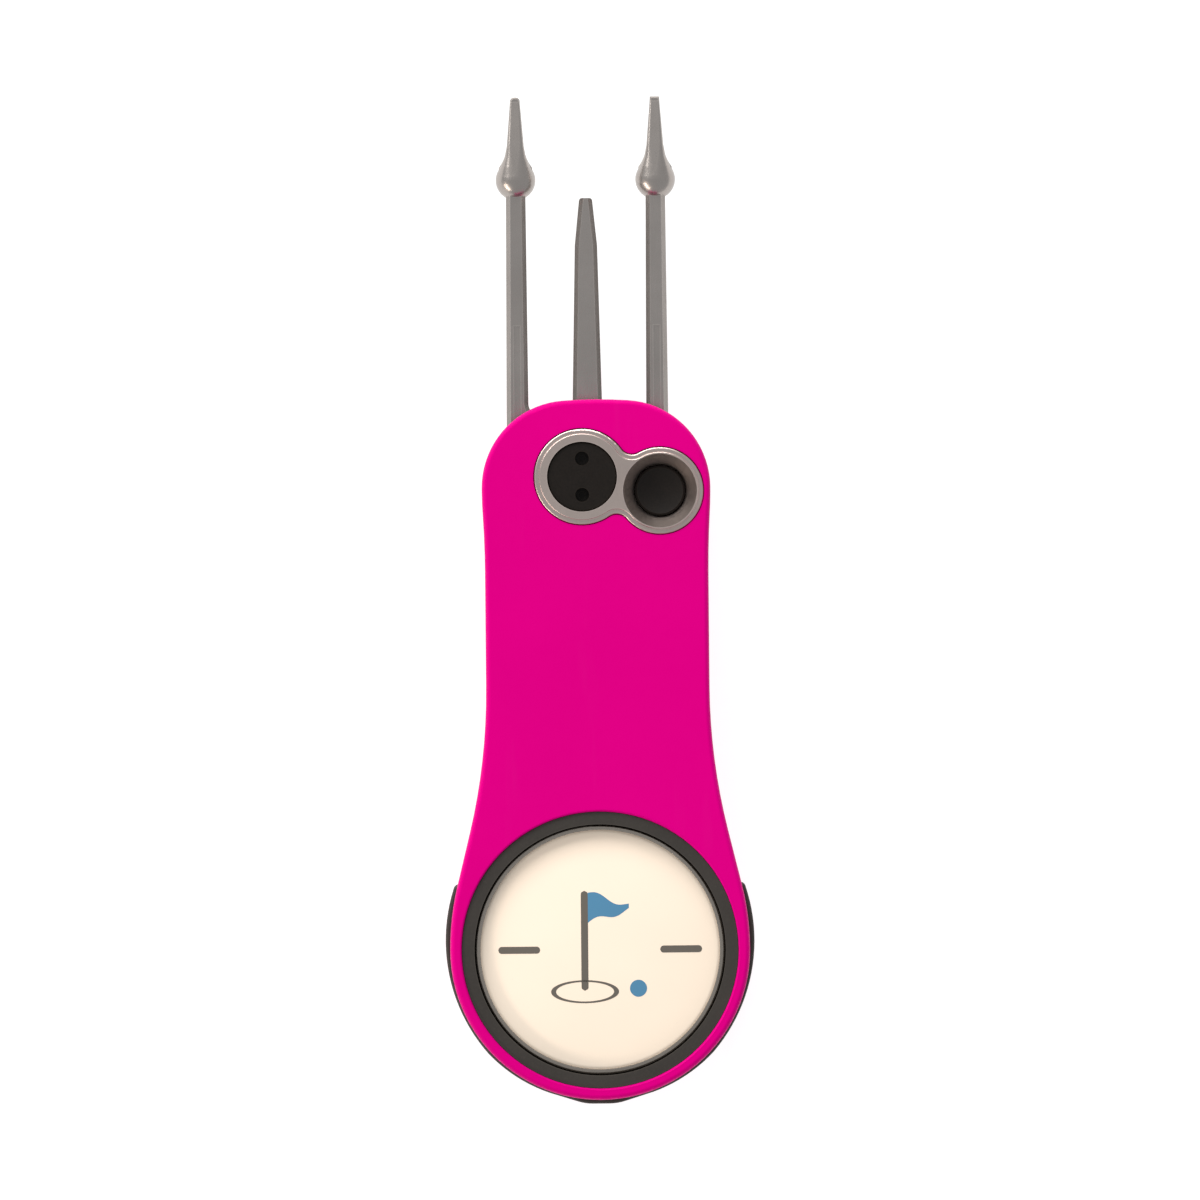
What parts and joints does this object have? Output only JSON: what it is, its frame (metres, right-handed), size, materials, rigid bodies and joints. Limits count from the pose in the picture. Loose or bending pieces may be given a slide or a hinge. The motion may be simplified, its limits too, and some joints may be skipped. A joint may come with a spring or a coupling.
{
  "type": "folding divot repair tool",
  "caption": "Folding divot repair tool: a three-prong fork swings out of a waisted handle, a button releases it, and a magnetic ball marker sits in the lobe.",
  "frame": {"origin": "middle of the open tool's footprint, on the back skin's flat face", "axes": "+Y towards the prong tips, +Z out of the face that carries the ball marker, +X to the side of the release button"},
  "size_m": [0.031, 0.101, 0.0116],
  "materials": {
    "pink_skin": "pressed aluminium skin with a satin magenta soft-touch coat",
    "dark_case": "moulded dark grey nylon",
    "dark_block": "moulded dark grey nylon, satin",
    "plate_metal": "cast plate with satin gunmetal plating",
    "plain_steel": "turned steel",
    "black_finish": "steel disc with black oxide finish",
    "spring_wire": "hard drawn spring steel",
    "washer_nylon": "natural nylon",
    "fork_metal": "die cast fork with satin gunmetal plating",
    "black_button": "moulded black acetal",
    "stop_rubber": "black rubber",
    "magnet_nickel": "nickel plated magnet",
    "marker_steel": "stamped steel with satin nickel plating",
    "marker_enamel": null
  },
  "bodies": {
    "handle": {"back_skin": "pink_skin", "front_skin": "pink_skin", "back_case": "dark_case", "front_case": "dark_case", "end_block": "dark_block", "spine_bar": "dark_block", "bezel_plate": "plate_metal", "pivot_barrel": "plain_steel", "pivot_screw": "black_finish", "flip_spring": "spring_wire", "back_thrust_washer": "washer_nylon", "front_thrust_washer": "washer_nylon", "lock_leaf": "spring_wire", "leaf_screw": "plain_steel", "open_stop_pin": "plain_steel", "closed_stop_pad": "stop_rubber", "case_screws": "plain_steel", "marker_magnet": "magnet_nickel"},
    "fork": {"fork": "fork_metal"},
    "button": {"release_button": "black_button"},
    "marker": {"marker_base": "marker_steel", "marker_insert": "marker_enamel"}
  },
  "joints": [
    {"name": "fork_swing", "type": "hinge", "parent": "handle", "child": "fork", "pos_m": [-0.00139, 0.01235, 0.0058], "axis": [0, 0, 1], "range_deg": [0, 180], "stiffness_Nm_per_rad": 0.004, "springref_deg": -20.05, "deforming": ["flip_spring"]},
    {"name": "button_press", "type": "slide", "parent": "handle", "child": "button", "axis": [0, 0, -1], "range_m": [0, 0.0009], "stiffness_N_per_m": 2500, "deforming": ["lock_leaf"]},
    {"name": "marker_lift", "type": "slide", "parent": "handle", "child": "marker", "axis": [0, 0, 1], "range_m": [0, 0.004]}
  ]
}
